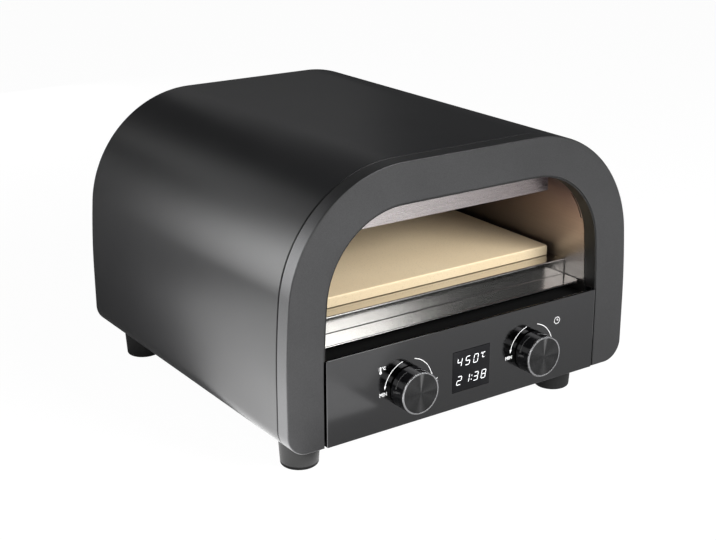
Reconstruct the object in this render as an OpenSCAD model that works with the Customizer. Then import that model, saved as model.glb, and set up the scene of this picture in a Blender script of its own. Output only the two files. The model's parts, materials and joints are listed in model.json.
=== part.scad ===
// Countertop electric pizza oven with an open arched mouth.
// X runs across the front, Y from front to rear, Z up. The origin is on the
// ground, under the middle of the whole part.

/* [Casing] */
// Width of the casing
body_w = 440; // [420:1:470]
// Depth of the casing, from the frame's face to the shell's rear edge
body_d = 436; // [430:1:480]
// Height over the feet
body_h = 302; // [295:1:320]
// Height of the feet, below the casing
foot_h = 27; // [20:1:27]
// Radius of the two large top corners
corner_r = 133; // [125:1:140]
// Radius of the gently bowed sides below those corners
side_r = 957.5; // [900:0.5:1200]
// Width of the flat crown between the top corners
crown_w = 167.2; // [160:0.1:175]
// Radius of the rolled bottom edges
bottom_r = 23; // [18:1:25]
// Thickness of the casing sheet
sheet_t = 1.2; // [1:0.1:1.5]

/* [Front frame] */
// Width of the frame's legs and of its top bar
leg_w = 42; // [40:1:46]
// Depth of the frame
frame_d = 17.5; // [15:0.5:20]
// Wall thickness of the frame's channel
frame_wall = 2.5; // [2:0.5:3]

/* [Control panel] */
// Height of the control panel
panel_h = 92; // [90:1:94]
// Gap between the panel and each leg
panel_gap = 2.2; // [1.5:0.1:3]
// How far the panel stands in front of the frame
panel_proud = 0.9; // [0.5:0.1:1.5]
// Height of the knob axes above the ground
knob_z = 68; // [66:1:72]
// Side position of the temperature knob
temperature_x = -78; // [-85:0.5:-70]
// Side position of the timer knob
timer_x = 85; // [75:0.5:90]
// Diameter of the knobs
knob_d = 45; // [40:1:46]
// Reach of the knob faces in front of the frame
knob_reach = 22; // [20:1:26]
// Width of the display window
window_w = 49; // [44:1:54]
// Height of the display window
window_h = 45; // [40:1:48]
// Side position of the display window's middle
window_x = 3; // [0:0.5:5]

/* [Deck] */
// Height of the steel ledge behind the panel
ledge_z = 122; // [121:0.5:124]
// Distance from the frame's face to the ledge's front edge
ledge_y = 23.2; // [22:0.2:26]
// Distance from the frame's face to the riser
riser_y = 51.2; // [48:0.2:54]
// Height of the deck that carries the stone
deck_z = 139.7; // [138:0.1:141]
// Width of the stone
stone_w = 342; // [330:1:344]
// Depth of the stone
stone_d = 330; // [320:1:331]
// Thickness of the stone
stone_t = 11; // [10:0.5:14]
// Distance from the frame's face to the stone
stone_y = 71; // [68:0.5:72]

/* [Chamber] */
// Distance from the frame's face to the rear wall of the chamber
chamber_y = 406; // [404:1:408]
// Height of the lower edge of the lintel
lintel_z = 229; // [222:1:236]
// Half the width of the lintel
lintel_half_w = 135; // [125:1:136]
// Distance from the frame's face to the lintel
lintel_y = 38; // [30:1:45]
// Diameter of the heating tubes
heater_d = 6.5; // [6:0.5:8]

/* [Feet] */
// Side position of the left feet
left_foot_x = -185.5; // [-188:0.5:-170]
// Side position of the right feet
right_foot_x = 150.5; // [140:0.5:185]
// Distance from the frame's face to the front feet
front_foot_y = 35.5; // [32:0.5:50]
// Distance from the frame's face to the rear feet
rear_foot_y = 383.5; // [360:0.5:395]
// Diameter of the feet at the top
foot_d = 42; // [36:1:44]

/* [Hidden] */
$fn = 64;
eps = 0.01;

half_w = body_w / 2;
// The arch: flat crown, corner arcs and bowed side arcs, all tangent.
crown_half = crown_w / 2;
corner_z = body_h - corner_r;
// From the middle of a side arc to the middle of the corner arc it runs into.
arc_run = crown_half - half_w + side_r;
arc_rise = round(100 * sqrt(pow(side_r - corner_r, 2) - pow(arc_run, 2))) / 100;
bow_z = corner_z - arc_rise;
// Row frame: the part is centred between the knob faces and the rear edge.
front_y = -(body_d - knob_reach) / 2;

liner_inset = leg_w;
liner_t = 1;
ring_t = 1.2;
bulkhead_t = 1.8;
shell_y = frame_d + bulkhead_t;
groove_t = 5;
joggle_y = shell_y + 3.4;
panel_top = foot_h + panel_h;
panel_t = 2;
panel_half = half_w - leg_w - panel_gap;
base_z = foot_h + sheet_t;
mid_z = 104;
rack_t = 1.2;
stone_z = deck_z + 0.3;
rear_y = body_d - 9;
shaft_d = 6;
shaft_gap = 0.05;
knob_gap = 0.6;
cap_t = 1.8;
bush_d = 7;
hex_fn = 6;

frame_screw_at = [
  [-half_w + 21, 48], [half_w - 21, 48], [-half_w + 21, 150], [half_w - 21, 150],
  [-80, body_h - 21], [80, body_h - 21]
];
foot_at = [
  [left_foot_x, front_foot_y], [right_foot_x, front_foot_y],
  [left_foot_x, rear_foot_y], [right_foot_x, rear_foot_y]
];
rear_flange_w = 14;
corner_screw = (corner_r - rear_flange_w / 2) * sqrt(0.5);
rear_screw_at = [
  [-half_w + 7, 60], [half_w - 7, 60], [-half_w + 9, 150], [half_w - 9, 150],
  [-crown_half - corner_screw, corner_z + corner_screw], [crown_half + corner_screw, corner_z + corner_screw],
  [0, body_h - 7], [-150, foot_h + 7], [150, foot_h + 7]
];
fan_at = [-75, 68];
fan_size = 60;
fan_depth = 20;
fan_bore = 56.4;
fan_hub_r = 12;
fan_blades = 7;
fan_front_y = rear_y - 1.4 - fan_depth;
inlet_at = [120, 66];
inlet_body = [28, 20];
inlet_recess = [25, 17];
heater_pitch = 44;
upper_heater_z = 241;
lower_heater_z = 128.5;
heater_front_y = 92;
heater_turns = 3;
heater_lead_x = heater_pitch * (heater_turns * 2 - 1) / 2;
lead_at = [
  for (side = [-1, 1], z = [upper_heater_z, lower_heater_z]) [side * heater_lead_x, z]
];
deck_half = 176.2;
insulator_d = 12;
probe_at = [100, 205];
thermostat_at = [0, 190];

// ---------- outlines ----------

// Everything of the arch above its widest line, drawn inset from the casing:
// two bowed sides under a flat crown, less what lies outside the corner arcs.
module arch_top(inset) {
  difference() {
    intersection() {
      translate([half_w - side_r, bow_z]) circle(side_r - inset, $fn = 720);
      translate([side_r - half_w, bow_z]) circle(side_r - inset, $fn = 720);
      translate([-body_w, bow_z]) square([2 * body_w, body_h]);
      translate([-body_w, -body_h]) square([2 * body_w, 2 * body_h - inset]);
    }
    for (side = [-1, 1]) translate([side * crown_half, corner_z]) difference() {
      polygon([[0, 0], [0, side_r], [side * side_r, side_r], [side * arc_run, arc_rise]]);
      circle(corner_r - inset, $fn = 180);
    }
  }
}

// The whole casing outline, inset, with its rolled bottom edges.
module casing_outline(inset) {
  roll = bottom_r - inset;
  roll_z = foot_h + bottom_r;
  arch_top(inset);
  translate([-half_w + inset, roll_z]) square([body_w - 2 * inset, bow_z - roll_z]);
  for (side = [-1, 1]) translate([side * (half_w - bottom_r), roll_z]) circle(roll);
  translate([-half_w + bottom_r, foot_h + inset]) square([body_w - 2 * bottom_r, bottom_r - inset + eps]);
}

// The arch carried straight down to a level, for the mouth and the chamber.
module opening_outline(inset, floor_z) {
  intersection() {
    union() {
      arch_top(inset);
      translate([-half_w + inset, 0]) square([body_w - 2 * inset, bow_z]);
    }
    translate([-body_w, floor_z]) square([2 * body_w, body_h]);
  }
}

// Extrudes an outline drawn in X and Z between two depths behind the frame's face.
module slab(from_y, to_y) {
  translate([0, front_y + to_y, 0]) rotate([90, 0, 0]) linear_extrude(to_y - from_y) children();
}

// A block given by its lowest and highest corners, with Y counted from the frame's face.
module block(low, high) {
  translate([low[0], front_y + low[1], low[2]]) cube(high - low);
}

// A round bar along Y, at a place given in X and Z.
module bar(at, d, from_y, to_y) {
  translate([at[0], front_y + to_y, at[1]]) rotate([90, 0, 0]) cylinder(d = d, h = to_y - from_y);
}

// A rectangle with rounded corners, centred.
module rounded(size, r) {
  square([size[0] - 2 * r, size[1]], center = true);
  square([size[0], size[1] - 2 * r], center = true);
  for (sx = [-1, 1], sy = [-1, 1]) translate([sx * (size[0] / 2 - r), sy * (size[1] / 2 - r)]) circle(r);
}

// ---------- casing ----------

module outer_shell() {
  color([0.10, 0.10, 0.11]) difference() {
    union() {
      slab(shell_y, body_d) difference() {
        casing_outline(0);
        casing_outline(sheet_t);
      }
      slab(rear_y - 2.6, rear_y - 1.4) difference() {
        casing_outline(sheet_t / 2);
        casing_outline(rear_flange_w);
      }
    }
    block([-110, 0, foot_h - 1], [110, body_d + 1, foot_h + rear_flange_w + 1]);
    for (at = foot_at) translate([at[0], front_y + at[1], foot_h - 1]) cylinder(d = 5.4, h = 4);
    for (at = rear_screw_at) bar(at, 3.2, rear_y - 4, rear_y);
  }
}

module frame_face(outer_inset, inner_inset) {
  difference() {
    casing_outline(outer_inset);
    opening_outline(inner_inset, foot_h - 10);
  }
}

module front_frame() {
  color([0.27, 0.27, 0.28]) {
    difference() {
      slab(0, frame_d) frame_face(0, leg_w);
      slab(frame_wall, frame_d + 1) frame_face(frame_wall, leg_w - frame_wall);
    }
    for (at = frame_screw_at) difference() {
      bar(at, 9, frame_wall, frame_d);
      bar(at, 3.2, frame_wall + 2, frame_d + 1);
    }
  }
}

// Plate behind the frame, stepped back under the shell so that a groove is left.
module front_bulkhead() {
  color([0.05, 0.05, 0.05]) difference() {
    union() {
      slab(frame_d, shell_y) casing_outline(groove_t);
      slab(frame_d, joggle_y) difference() {
        casing_outline(groove_t);
        casing_outline(groove_t + sheet_t);
      }
      slab(joggle_y - sheet_t, joggle_y) difference() {
        casing_outline(sheet_t);
        casing_outline(groove_t + sheet_t);
      }
    }
    slab(frame_d - 1, shell_y + 1) opening_outline(leg_w - 1, foot_h - 10);
    block([-panel_half - 1.7, frame_d - 1, foot_h - 1], [panel_half + 1.7, joggle_y + 1, panel_top]);
    for (at = frame_screw_at) bar(at, 3.4, frame_d - 1, shell_y + 1);
  }
}

module mouth_ring() {
  color([0.06, 0.06, 0.06]) slab(1, frame_d - 0.1) difference() {
    opening_outline(leg_w + 0.2, panel_top - 0.8);
    opening_outline(leg_w + 0.2 + ring_t, panel_top - 2);
  }
}

module frame_screws() {
  color([0.6, 0.6, 0.62]) for (at = frame_screw_at) {
    bar(at, 3, frame_wall + 4, shell_y);
    bar(at, 6, shell_y, shell_y + 1.8);
  }
}

module rear_panel() {
  color([0.12, 0.12, 0.13]) difference() {
    slab(rear_y - 1.2, rear_y) casing_outline(sheet_t + 0.3);
    bar(fan_at, fan_bore, rear_y - 2, rear_y + 1);
    for (sx = [-1, 1], sz = [-1, 1]) bar([fan_at[0] + 25 * sx, fan_at[1] + 25 * sz], 3.6, rear_y - 2, rear_y + 1);
    translate([inlet_at[0], 0, inlet_at[1]]) slab(rear_y - 2, rear_y + 1) rounded(inlet_body + [0.4, 0.4], 2);
    for (at = rear_screw_at) bar(at, 3.2, rear_y - 2, rear_y + 1);
    for (column = [-1, 0, 1], row = [0:5]) translate([column * 66, 0, 208 + row * 11]) louvre_slot();
    for (row = [0:3]) translate([20, 0, 52 + row * 11]) louvre_slot();
  }
}

module louvre_slot() {
  slab(rear_y - 2, rear_y + 1) rounded([46, 3], 1.49);
}

module rear_screws() {
  color([0.6, 0.6, 0.62]) {
    for (at = rear_screw_at) {
      bar(at, 3, rear_y - 10, rear_y);
      bar(at, 6, rear_y, rear_y + 1.8);
    }
    for (side = [-1, 1]) {
      at = [inlet_at[0] + side * 20, inlet_at[1]];
      bar(at, 3, rear_y + 0.4, rear_y + 2.5);
      bar(at, 5.6, rear_y + 2.5, rear_y + 4.1);
    }
  }
}

module base_plate() {
  color([0.55, 0.56, 0.58]) {
    difference() {
      block([-half_w + bottom_r + 1, 24, base_z], [half_w - bottom_r - 1, rear_y - 3, base_z + 1.2]);
      for (at = foot_at) translate([at[0], front_y + at[1], base_z - 1]) cylinder(d = 5.4, h = 4);
      for (column = [-8:8], y = [60, 290]) {
        block([column * 12 - 1.5, y, base_z - 1], [column * 12 + 1.5, y + 40, base_z + 3]);
      }
    }
    for (x = [-142, -28], y = [128, 252]) {
      translate([x, front_y + y, base_z + 1.2]) cylinder(d = 6, h = 36 - base_z - 1.2);
    }
  }
}

// Tapered rubber foot with a rounded tread edge and a recess for its screw.
module foot(at) {
  tread_r = foot_d / 2 - 1.5;
  translate([at[0], front_y + at[1], 0]) rotate_extrude($fn = 96) {
    polygon([
      [2.7, 12], [6.5, 12], [6.5, 0], [tread_r - 3, 0], [tread_r - 3, 3],
      [tread_r, 3], [foot_d / 2, foot_h], [2.7, foot_h]
    ]);
    intersection() {
      translate([tread_r - 3, 3]) circle(3);
      translate([tread_r - 3, 0]) square(3);
    }
  }
}

module front_left_foot() { color([0.08, 0.08, 0.08]) foot(foot_at[0]); }
module front_right_foot() { color([0.08, 0.08, 0.08]) foot(foot_at[1]); }
module rear_left_foot() { color([0.08, 0.08, 0.08]) foot(foot_at[2]); }
module rear_right_foot() { color([0.08, 0.08, 0.08]) foot(foot_at[3]); }

module foot_screws() {
  color([0.6, 0.6, 0.62]) for (at = foot_at) translate([at[0], front_y + at[1], 0]) {
    translate([0, 0, 8.4]) cylinder(d = 10, h = 3.6);
    translate([0, 0, 12]) cylinder(d = 5, h = base_z + 8 - 12);
    translate([0, 0, base_z + 1.2]) cylinder(d = 9.2, h = 4, $fn = hex_fn);
  }
}

// ---------- control panel ----------

module control_panel() {
  front = -panel_proud;
  color([0.24, 0.24, 0.25]) difference() {
    block([-panel_half, front, foot_h], [panel_half, 12, panel_top]);
    block([-panel_half + 1.5, front + panel_t, foot_h + 1.5], [panel_half - 1.5, 13, panel_top + 1]);
    for (x = [temperature_x, timer_x]) bar([x, knob_z], bush_d + 0.4, front - 1, front + panel_t + 1);
    translate([window_x, 0, knob_z]) slab(front - 1, front + panel_t + 1) rounded([window_w + 0.4, window_h + 0.4], 0.6);
  }
}

module air_trough() {
  low = panel_top - 12;
  high = low + 1.2;
  wide = panel_half + 1.6;
  color([0.05, 0.05, 0.05]) {
    block([-panel_half + 1.7, panel_t - panel_proud + 0.3, low], [panel_half - 1.7, 12.3, high]);
    block([-wide, 12.3, low], [wide, 58, high]);
    block([-wide, 56.8, high], [wide, 58, panel_top - 1.2]);
    block([-150, 56.8, mid_z + 1.2], [150, 58, low]);
  }
}

module display_window() {
  front = -panel_proud;
  color([0.02, 0.02, 0.02]) translate([window_x, 0, knob_z]) {
    slab(front - 0.1, front + panel_t) rounded([window_w, window_h], 0.5);
    slab(front + panel_t, front + panel_t + 1) rounded([window_w + 5, window_h + 5], 1);
  }
}

module display_module() {
  color([0.85, 0.86, 0.84]) translate([window_x, 0, knob_z]) slab(2.3, 8.4) rounded([window_w - 4, window_h - 4], 1);
}

module display_board() {
  color([0.05, 0.35, 0.18]) difference() {
    block([-112, 8.6, 38], [118, 10.2, 104]);
    for (x = [-107, 113], z = [43, 99]) bar([x, z], 3.2, 8, 11);
  }
}

module encoder(x) {
  front = -panel_proud + panel_t;
  difference() {
    union() {
      block([x - 6.2, front, knob_z - 6.2], [x + 6.2, 8.5, knob_z + 6.2]);
      bar([x, knob_z], bush_d, -4, front);
    }
    bar([x, knob_z], shaft_d + 2 * shaft_gap, -5, 7.2);
  }
}

module temperature_encoder() { color([0.5, 0.5, 0.48]) encoder(temperature_x); }
module timer_encoder() { color([0.5, 0.5, 0.48]) encoder(timer_x); }

module encoder_nuts() {
  color([0.7, 0.7, 0.7]) for (x = [temperature_x, timer_x]) difference() {
    translate([x, front_y - panel_proud, knob_z]) rotate([90, 0, 0]) cylinder(d = 11.4, h = 2, $fn = hex_fn);
    bar([x, knob_z], bush_d + 0.2, -4, 1);
  }
}

// Moulded knob: a skirt and a web with ribs that carry the shaft's boss.
module knob(x) {
  back = -panel_proud - knob_gap;
  web = -knob_reach + cap_t + 3.2;
  difference() {
    union() {
      difference() {
        bar([x, knob_z], knob_d, -knob_reach + cap_t, back);
        bar([x, knob_z], knob_d - 4.4, web, back + 1);
      }
      bar([x, knob_z], 12, web, -6.4);
      for (turn = [0:60:300]) translate([x, 0, knob_z]) rotate([0, turn, 0]) {
        block([5.5, web, -0.7], [knob_d / 2 - 2, -7.4, 0.7]);
      }
    }
    shaft_form(x, shaft_d + 0.1, web - 0.9, 0);
  }
}

// A shaft end with its flat: the same form cuts the boss and makes the shaft.
module shaft_form(x, d, front, back) {
  difference() {
    bar([x, knob_z], d, front, back);
    block([x - 4, front - 1, knob_z + d / 2 - 1.2], [x + 4, -6.2, knob_z + 4]);
  }
}

// Spun metal face with a raised rim and a bevelled edge.
module cap(x) {
  r = knob_d / 2;
  translate([x, front_y - knob_reach + cap_t, knob_z]) rotate([90, 0, 0]) rotate_extrude($fn = 128) {
    polygon([[0, 0.05], [r, 0.05], [r, cap_t - 0.8], [r - 0.8, cap_t], [r - 1.6, cap_t], [r - 1.9, cap_t - 0.3], [0, cap_t - 0.3]]);
  }
}

module temperature_knob() { color([0.05, 0.05, 0.05]) knob(temperature_x); }
module timer_knob() { color([0.05, 0.05, 0.05]) knob(timer_x); }
module temperature_cap() { color([0.25, 0.25, 0.26]) cap(temperature_x); }
module timer_cap() { color([0.25, 0.25, 0.26]) cap(timer_x); }
module temperature_shaft() { color([0.7, 0.7, 0.72]) shaft_form(temperature_x, shaft_d, -knob_reach + cap_t + 2.6, 6.9); }
module timer_shaft() { color([0.7, 0.7, 0.72]) shaft_form(timer_x, shaft_d, -knob_reach + cap_t + 2.6, 6.9); }

// ---------- deck ----------

module front_sill() {
  corner = 8;
  t = rack_t;
  color([0.75, 0.75, 0.75]) {
    translate([0, front_y, ledge_z - t]) linear_extrude(t) {
      translate([-deck_half, ledge_y + corner]) square([2 * deck_half, riser_y + t - ledge_y - corner]);
      translate([-deck_half + corner, ledge_y]) square([2 * (deck_half - corner), corner]);
      for (side = [-1, 1]) intersection() {
        translate([side * (deck_half - corner), ledge_y + corner]) circle(corner);
        translate([side * (deck_half - corner / 2), ledge_y + corner / 2]) square(corner, center = true);
      }
    }
    block([-deck_half + corner, ledge_y, ledge_z - 2 * t], [deck_half - corner, ledge_y + 3, ledge_z - t]);
    block([-deck_half, riser_y, ledge_z], [deck_half, riser_y + t, deck_z]);
    block([-deck_half, riser_y + t, deck_z - t], [deck_half, riser_y + 13, deck_z]);
  }
}

module stone_rack() {
  color([0.7, 0.7, 0.7]) {
    difference() {
      block([-deck_half, riser_y + 13.2, deck_z - rack_t], [deck_half, 404, deck_z]);
      for (side = [-1, 1]) block([side * 75 - 66, 96, deck_z - 3], [side * 75 + 66, 384, deck_z + 1]);
    }
    block([-150, 402.4, deck_z], [150, 403.6, deck_z + 8]);
  }
}

module pizza_stone() {
  bevel = 1.5;
  color([0.85, 0.77, 0.64]) translate([0, front_y + stone_y + stone_d / 2, stone_z]) {
    linear_extrude(stone_t - bevel) rounded([stone_w, stone_d], 4);
    translate([0, 0, stone_t - bevel]) linear_extrude(bevel / 2) rounded([stone_w - bevel, stone_d - bevel], 4);
    translate([0, 0, stone_t - bevel / 2]) linear_extrude(bevel / 2) rounded([stone_w - 3 * bevel, stone_d - 3 * bevel], 4);
  }
}

module lintel() {
  t = 1;
  color([0.72, 0.70, 0.70]) {
    slab(lintel_y, lintel_y + t) intersection() {
      opening_outline(liner_inset + 0.3, lintel_z);
      translate([-lintel_half_w, lintel_z]) square([2 * lintel_half_w, 60]);
    }
    block([-lintel_half_w, lintel_y + t, lintel_z], [lintel_half_w, lintel_y + 2 * t, lintel_z + 6]);
    block([-70, lintel_y + t, body_h - leg_w - 0.3 - t], [70, lintel_y + 9, body_h - leg_w - 0.3]);
  }
}

// ---------- baking chamber ----------

module chamber_liner() {
  slit_from = 17;
  slit_to = 39;
  reach = corner_r;
  color([0.6, 0.55, 0.52]) difference() {
    slab(shell_y + 0.2, chamber_y - 0.2) difference() {
      opening_outline(liner_inset - liner_t, mid_z + 1.4);
      opening_outline(liner_inset, mid_z);
    }
    for (side = [-1, 1]) slab(shell_y + 1.3, shell_y + 3.3) translate([side * crown_half, corner_z]) polygon([
      [0, 0],
      [side * reach * cos(slit_from), reach * sin(slit_from)],
      [side * reach * cos(slit_to), reach * sin(slit_to)]
    ]);
  }
}

module rear_liner() {
  color([0.55, 0.52, 0.5]) difference() {
    slab(chamber_y, chamber_y + 1) opening_outline(liner_inset - liner_t, mid_z + 1.4);
    for (at = lead_at) bar(at, insulator_d + 0.4, chamber_y - 1, chamber_y + 2);
    bar(probe_at, 3.4, chamber_y - 1, chamber_y + 2);
  }
}

// A tubular element: hairpins side by side, with both leads to the rear.
module heater(z) {
  runs = 2 * heater_turns;
  rear_bend_y = 366;
  for (run = [0:runs - 1]) {
    x = (run - (runs - 1) / 2) * heater_pitch;
    is_lead = run == 0 || run == runs - 1;
    bar([x, z], heater_d, heater_front_y + heater_pitch / 2, is_lead ? 422 : rear_bend_y);
  }
  for (bend = [0:heater_turns - 1]) {
    x = (2 * bend + 0.5 - (runs - 1) / 2) * heater_pitch;
    translate([x, front_y + heater_front_y + heater_pitch / 2, z]) rotate([0, 0, 180]) hairpin();
  }
  for (bend = [0:heater_turns - 2]) {
    x = (2 * bend + 1.5 - (runs - 1) / 2) * heater_pitch;
    translate([x, front_y + rear_bend_y, z]) hairpin();
  }
}

module hairpin() {
  rotate_extrude(angle = 180) translate([heater_pitch / 2, 0]) circle(d = heater_d);
}

module upper_heater() { color([0.35, 0.33, 0.32]) heater(upper_heater_z); }
module lower_heater() { color([0.35, 0.33, 0.32]) heater(lower_heater_z); }

module heater_clips() {
  strap_x = heater_lead_x + 14;
  strip_z = upper_heater_z - heater_d / 2 - 1.3;
  color([0.6, 0.6, 0.6]) for (y = [140, 330]) {
    block([-strap_x, y, strip_z], [strap_x, y + 8, strip_z + 1.2]);
    for (side = [-1, 1]) block(
      [side * strap_x - 0.6, y, strip_z], [side * strap_x + 0.6, y + 8, 249]
    );
    block([-strap_x, y, 119.3], [strap_x, y + 8, lower_heater_z - heater_d / 2 - 0.1]);
  }
}

module heater_insulators() {
  color([0.93, 0.92, 0.88]) for (at = lead_at) difference() {
    union() {
      bar(at, insulator_d, chamber_y - 0.2, 419.5);
      bar(at, insulator_d + 4, chamber_y - 2.2, chamber_y - 0.2);
    }
    bar(at, heater_d + 0.2, chamber_y - 3, 420);
  }
}

module heater_pan() {
  low = [-174, 66, 118.2];
  high = [174, 402, deck_z - rack_t - 0.3];
  color([0.65, 0.65, 0.66]) difference() {
    block(low, high);
    block(low + [1, 1, 1], high + [-1, -1, 1]);
    for (side = [-1, 1]) bar([side * heater_lead_x, lower_heater_z], heater_d + 1.5, 400, 403);
  }
}

module insulation_blanket() {
  color([0.9, 0.9, 0.86]) slab(24, chamber_y - 2) difference() {
    opening_outline(10, mid_z + 2);
    opening_outline(liner_inset - liner_t, mid_z);
  }
}

module floor_insulation() {
  color([0.9, 0.9, 0.86]) block([-176, 66, mid_z + 1.2], [176, 402, 118]);
}

module rear_insulation() {
  color([0.9, 0.9, 0.86]) difference() {
    slab(chamber_y + 1.2, 419) opening_outline(liner_inset, mid_z + 1.4);
    for (at = lead_at) bar(at, insulator_d + 0.4, chamber_y, 420);
    bar(probe_at, 8.6, chamber_y, 420);
    bar(thermostat_at, 26, chamber_y, 420);
  }
}

module temperature_probe() {
  color([0.75, 0.75, 0.76]) {
    bar(probe_at, 3, 388, 423);
    bar(probe_at, 8, chamber_y + 1, chamber_y + 6);
  }
}

module safety_thermostat() {
  color([0.2, 0.2, 0.2]) {
    bar(thermostat_at, 24, chamber_y + 1, chamber_y + 8);
    for (side = [-1, 1]) block(
      [thermostat_at[0] + side * 7 - 3, chamber_y + 8, thermostat_at[1] - 0.4],
      [thermostat_at[0] + side * 7 + 3, chamber_y + 17, thermostat_at[1] + 0.4]
    );
  }
}

// ---------- chassis and electrics ----------

module mid_plate() {
  color([0.6, 0.6, 0.62]) difference() {
    block([-177.4, 30, mid_z], [177.4, 419, mid_z + 1.2]);
    for (x = [-120, 120]) translate([x, front_y + 411, mid_z - 1]) cylinder(d = 10, h = 4);
  }
}

// Folded channel that carries the deck over the electronics.
module rail(side) {
  web_x = side * 170;
  floor_z = base_z + 1.2;
  difference() {
    union() {
      block([web_x - 0.6, 40, floor_z], [web_x + 0.6, 414, mid_z]);
      for (z = [floor_z, mid_z - 1.2]) {
        block([min(web_x, web_x - side * 13), 40, z], [max(web_x, web_x - side * 13), 414, z + 1.2]);
      }
    }
    for (y = [100, 170, 240, 310, 380]) translate([web_x - 2, front_y + y, 66]) rotate([0, 90, 0]) cylinder(d = 34, h = 4);
    for (at = foot_at) translate([at[0], front_y + at[1], floor_z - 1]) cylinder(d = 11, h = 8);
  }
}

module left_rail() { color([0.6, 0.6, 0.62]) rail(-1); }
module right_rail() { color([0.6, 0.6, 0.62]) rail(1); }

module power_inlet() {
  flange = 2.5;
  depth = 22;
  color([0.05, 0.05, 0.05]) difference() {
    translate([inlet_at[0], 0, inlet_at[1]]) union() {
      slab(rear_y, rear_y + flange) rounded([50, 28], 4);
      slab(rear_y - depth, rear_y) rounded(inlet_body, 2);
    }
    translate([inlet_at[0], 0, inlet_at[1]]) slab(rear_y - depth + 5, rear_y + flange + 1) rounded(inlet_recess, 2);
    for (side = [-1, 1]) bar([inlet_at[0] + side * 20, inlet_at[1]], 3.2, rear_y - 1, rear_y + flange + 1);
    inlet_blades(0.05);
  }
}

module inlet_blades(grow) {
  for (pin = [[-7, 2.6], [7, 2.6], [0, -2.6]]) {
    at = inlet_at + pin;
    block(
      [at[0] - 1 - grow, rear_y - 26, at[1] - 2 - grow],
      [at[0] + 1 + grow, rear_y - 2, at[1] + 2 + grow]
    );
  }
}

module inlet_pins() { color([0.8, 0.7, 0.4]) inlet_blades(0); }

module terminal_block() {
  x = 60;
  y = 372;
  z = base_z + 1.2;
  color([0.85, 0.84, 0.8]) difference() {
    block([x, y, z], [x + 62, y + 22, z + 17]);
    for (way = [0:4]) block([x + 3 + way * 12, y - 1, z + 9], [x + 11 + way * 12, y + 6, z + 18]);
    for (way = [0:4]) translate([x + 7 + way * 12, front_y + y + 14, z + 8]) cylinder(d = 5, h = 12);
  }
}

module power_board() {
  color([0.05, 0.35, 0.18]) block([-148, 122, 36], [-22, 258, 37.6]);
}

module board_components() {
  z = 37.6;
  color([0.15, 0.15, 0.16]) {
    for (y = [132, 160]) block([-140, y, z], [-111, y + 20, z + 26]);
    block([-100, 134, z], [-66, 168, z + 28]);
    for (y = [190, 212]) translate([-126, front_y + y, z]) cylinder(d = 16, h = 30);
    for (fin = [0:5]) block([-96 + fin * 8, 184, z + 4], [-94 + fin * 8, 240, z + 34]);
    block([-96, 184, z], [-54, 240, z + 4]);
    for (y = [140, 160, 180]) block([-44, y, z], [-30, y + 14, z + 12]);
  }
}

// ---------- cooling fan ----------

module fan_frame() {
  color([0.08, 0.08, 0.08]) difference() {
    union() {
      difference() {
        translate([fan_at[0], 0, fan_at[1]]) slab(fan_front_y, fan_front_y + fan_depth) rounded([fan_size, fan_size], 4);
        bar(fan_at, fan_bore, fan_front_y - 1, fan_front_y + fan_depth + 1);
      }
      bar(fan_at, 2 * fan_hub_r, fan_front_y, fan_front_y + 3);
      bar(fan_at, 7, fan_front_y + 3, fan_front_y + 12);
      translate([fan_at[0], 0, fan_at[1]]) for (turn = [45:90:315]) rotate([0, turn, 0]) {
        block([fan_hub_r - 2, fan_front_y, -1.5], [fan_bore / 2 + 1, fan_front_y + 3, 1.5]);
      }
    }
    bar(fan_at, 3.1, fan_front_y - 1, fan_front_y + 13);
    for (sx = [-1, 1], sz = [-1, 1]) {
      bar([fan_at[0] + 25 * sx, fan_at[1] + 25 * sz], 3.6, fan_front_y - 1, fan_front_y + fan_depth + 1);
    }
  }
}

// Cup-shaped hub with pitched, cambered blades cut from a cylinder wall.
module fan_rotor() {
  back = fan_front_y + 5;
  front = fan_front_y + fan_depth - 1.5;
  tip_r = fan_bore / 2 - 1.2;
  middle = (back + front) / 2;
  color([0.1, 0.1, 0.11]) {
    difference() {
      bar(fan_at, 2 * fan_hub_r, back, front);
      bar(fan_at, 2 * fan_hub_r - 3, back - 1, front - 1.5);
    }
    difference() {
      bar(fan_at, 8, front - 5, front - 1.5);
      bar(fan_at, 3, front - 6, front);
    }
    for (blade = [0:fan_blades - 1]) translate([fan_at[0], front_y + middle, fan_at[1]]) {
      rotate([0, blade * 360 / fan_blades, 0]) fan_blade(tip_r, front - back - 1);
    }
  }
}

module fan_blade(tip_r, height) {
  camber_r = 26;
  intersection() {
    rotate([40, 0, 0]) translate([fan_hub_r - 0.8, 0, -camber_r]) rotate([0, 90, 0]) difference() {
      cylinder(r = camber_r + 0.7, h = tip_r);
      translate([0, 0, -1]) cylinder(r = camber_r - 0.7, h = tip_r + 2);
    }
    rotate([90, 0, 0]) cylinder(r = tip_r, h = height, center = true);
    translate([0, -height / 2, -9]) cube([tip_r + 1, height, 22]);
  }
}

module fan_axle() {
  color([0.75, 0.75, 0.76]) bar(fan_at, 3, fan_front_y + 0.5, fan_front_y + fan_depth - 3);
}

// Finger guard of bent wire on the rear face.
module fan_guard() {
  wire = 1.6;
  at_y = rear_y + wire / 2;
  color([0.65, 0.65, 0.66]) {
    for (ring_r = [10, 16.5, 23]) translate([fan_at[0], front_y + at_y, fan_at[1]]) rotate([90, 0, 0]) {
      rotate_extrude() translate([ring_r, 0]) circle(d = wire, $fn = 24);
    }
    translate([fan_at[0], front_y + at_y, fan_at[1]]) for (turn = [45:90:315]) rotate([0, turn, 0]) {
      translate([6, 0, 0]) rotate([0, 90, 0]) cylinder(d = wire, h = 28, $fn = 24);
      translate([25 * sqrt(2), 0, 0]) rotate([90, 0, 0]) difference() {
        cylinder(d = 7, h = wire, center = true);
        cylinder(d = 3.6, h = wire + 2, center = true);
      }
    }
  }
}

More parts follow.
